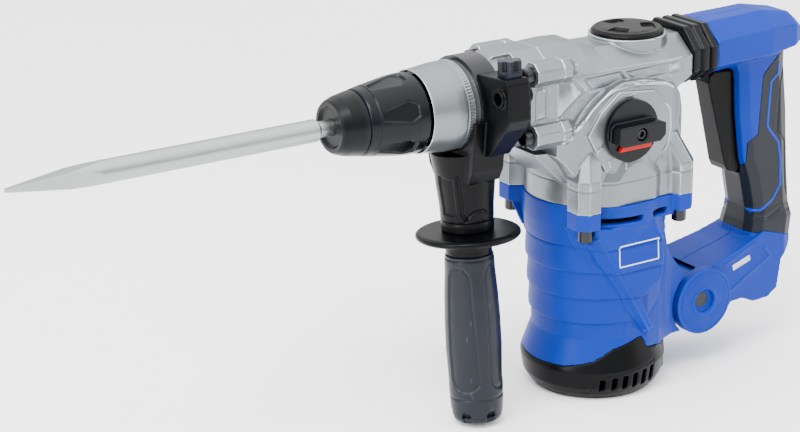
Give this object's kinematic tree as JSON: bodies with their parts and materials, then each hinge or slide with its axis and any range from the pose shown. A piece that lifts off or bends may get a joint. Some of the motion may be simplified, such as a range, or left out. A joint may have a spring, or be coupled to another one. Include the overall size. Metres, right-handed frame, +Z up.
{
  "type": "rotary hammer",
  "caption": "Electric rotary hammer with upright motor, D-shaped rear handle, side handle and pointed chisel.",
  "frame": {"origin": "centre of the flat underside of the motor, on the motor axis", "axes": "+Z up along the motor axis, the tool points along -X, the rear handle is at +X, the mode knob is on the -Y side"},
  "size_m": [0.5715, 0.104, 0.2439],
  "materials": {
    "silver_casting": "satin",
    "plate_aluminium": "satin",
    "blue_plastic": "satin",
    "black_plastic": "matte",
    "grey_plastic": "matte",
    "soft_grip": "matte",
    "gaiter_rubber": "matte",
    "red_marker": "gloss",
    "chisel_steel": "satin",
    "machine_steel": "satin",
    "bearing_steel": "polished",
    "spring_steel": "satin",
    "black_screw": "satin",
    "core_iron": "matte",
    "winding_copper": "varnished",
    "contact_brass": "satin",
    "brush_carbon": "matte",
    "fan_plastic": "matte"
  },
  "bodies": {
    "housing": {"front_barrel": "silver_casting", "gear_housing": "silver_casting", "nose_screws": "black_screw", "housing_screws": "black_screw", "grease_cap": "black_plastic", "bearing_plate": "plate_aluminium", "ball_bearings": "bearing_steel", "spindle_bearings": "bearing_steel", "nose_seal": "gaiter_rubber", "stator_core": "core_iron", "field_coils": "winding_copper", "brush_holders": "contact_brass", "carbon_brushes": "brush_carbon", "motor_housing": "blue_plastic", "motor_end_cap": "black_plastic", "bellows": "gaiter_rubber"},
    "spindle": {"hammer_tube": "machine_steel", "bevel_ring_gear": "machine_steel", "clutch_spring": "spring_steel", "thrust_rings": "machine_steel", "locking_balls": "bearing_steel", "dust_cap": "gaiter_rubber", "sleeve_spring": "spring_steel"},
    "sleeve": {"locking_sleeve": "grey_plastic", "ball_ring": "bearing_steel"},
    "tool": {"chisel": "chisel_steel"},
    "beat": {"beat_piece": "machine_steel"},
    "striker": {"striker": "machine_steel"},
    "piston": {"piston": "plate_aluminium", "wrist_pin": "bearing_steel", "connecting_rod": "machine_steel"},
    "crank": {"crank_gear": "machine_steel"},
    "lay": {"lay_shaft": "machine_steel"},
    "armature": {"armature_shaft": "machine_steel", "rotor_core": "core_iron", "rotor_windings": "winding_copper", "commutator": "contact_brass", "cooling_fan": "fan_plastic"},
    "knob": {"mode_knob": "grey_plastic", "mode_pointer": "red_marker", "knob_screw": "black_screw", "selector_pin": "machine_steel"},
    "side_handle": {"clamp_band": "black_screw", "side_bracket": "black_plastic", "clamp_bolt": "machine_steel"},
    "side_grip": {"side_grip_core": "black_plastic", "side_grip_cover": "soft_grip", "side_grip_plug": "soft_grip"},
    "stop_button": {"stop_button": "grey_plastic"},
    "rear_handle": {"rear_handle_left": "blue_plastic", "rear_handle_right": "blue_plastic", "handle_screws": "black_screw", "grip_overmould": "soft_grip", "trigger_pin": "bearing_steel", "switch_module": "black_plastic", "damper_spring": "spring_steel", "pivot_pin": "black_screw", "cable_gland": "gaiter_rubber"},
    "trigger": {"trigger": "black_plastic"}
  },
  "joints": [
    {"name": "spindle_turn", "type": "hinge", "parent": "housing", "child": "spindle", "pos_m": [0, 0, 0.208], "axis": [1, 0, 0], "continuous": true},
    {"name": "tool_slide", "type": "slide", "parent": "spindle", "child": "tool", "axis": [-1, 0, 0], "range_m": [0, 0.01]},
    {"name": "sleeve_slide", "type": "slide", "parent": "spindle", "child": "sleeve", "axis": [1, 0, 0], "range_m": [0, 0.006], "stiffness_N_per_m": 2000, "springref_m": -0.004, "deforming": ["sleeve_spring"]},
    {"name": "beat_slide", "type": "slide", "parent": "spindle", "child": "beat", "axis": [-1, 0, 0], "range_m": [0, 0.004]},
    {"name": "striker_slide", "type": "slide", "parent": "spindle", "child": "striker", "axis": [-1, 0, 0], "range_m": [0, 0.017]},
    {"name": "piston_slide", "type": "slide", "parent": "housing", "child": "piston", "axis": [1, 0, 0], "range_m": [0, 0.02]},
    {"name": "crank_turn", "type": "hinge", "parent": "housing", "child": "crank", "pos_m": [0.024, 0, 0.15], "axis": [0, 0, 1], "continuous": true},
    {"name": "lay_turn", "type": "hinge", "parent": "housing", "child": "lay", "pos_m": [-0.0192, 0, 0.15], "axis": [0, 0, 1], "continuous": true},
    {"name": "armature_turn", "type": "hinge", "parent": "housing", "child": "armature", "pos_m": [0, 0, 0.07], "axis": [0, 0, 1], "continuous": true},
    {"name": "mode_turn", "type": "hinge", "parent": "housing", "child": "knob", "pos_m": [-0.0058, -0.046, 0.1833], "axis": [0, -1, 0], "range_deg": [-90, 90]},
    {"name": "side_swing", "type": "hinge", "parent": "housing", "child": "side_handle", "pos_m": [-0.1, 0, 0.208], "axis": [1, 0, 0], "continuous": true},
    {"name": "side_grip_turn", "type": "hinge", "parent": "side_handle", "child": "side_grip", "pos_m": [-0.1054, -0.01307, 0.05857], "axis": [0, -0.0872, -0.9962], "range_deg": [0, 540]},
    {"name": "stop_press", "type": "slide", "parent": "side_handle", "child": "stop_button", "axis": [0, -0.0872, -0.9962], "range_m": [0, 0.0026], "stiffness_N_per_m": 1500, "springref_m": -0.002},
    {"name": "handle_swing", "type": "hinge", "parent": "housing", "child": "rear_handle", "pos_m": [0.0714, 0, 0.0467], "axis": [0, -1, 0], "range_deg": [0, 1.5], "stiffness_Nm_per_rad": 800, "springref_deg": -1.15, "deforming": ["bellows", "damper_spring"]},
    {"name": "trigger_pull", "type": "hinge", "parent": "rear_handle", "child": "trigger", "pos_m": [0.11, 0, 0.193], "axis": [0, -1, 0], "range_deg": [0, 4.5], "stiffness_Nm_per_rad": 1.2, "springref_deg": -4.58}
  ],
  "couplings": [
    {"joint": "lay_turn", "follows": "spindle_turn", "ratio": -2.6667},
    {"joint": "armature_turn", "follows": "spindle_turn", "ratio": 8},
    {"joint": "crank_turn", "follows": "spindle_turn", "ratio": -2}
  ]
}
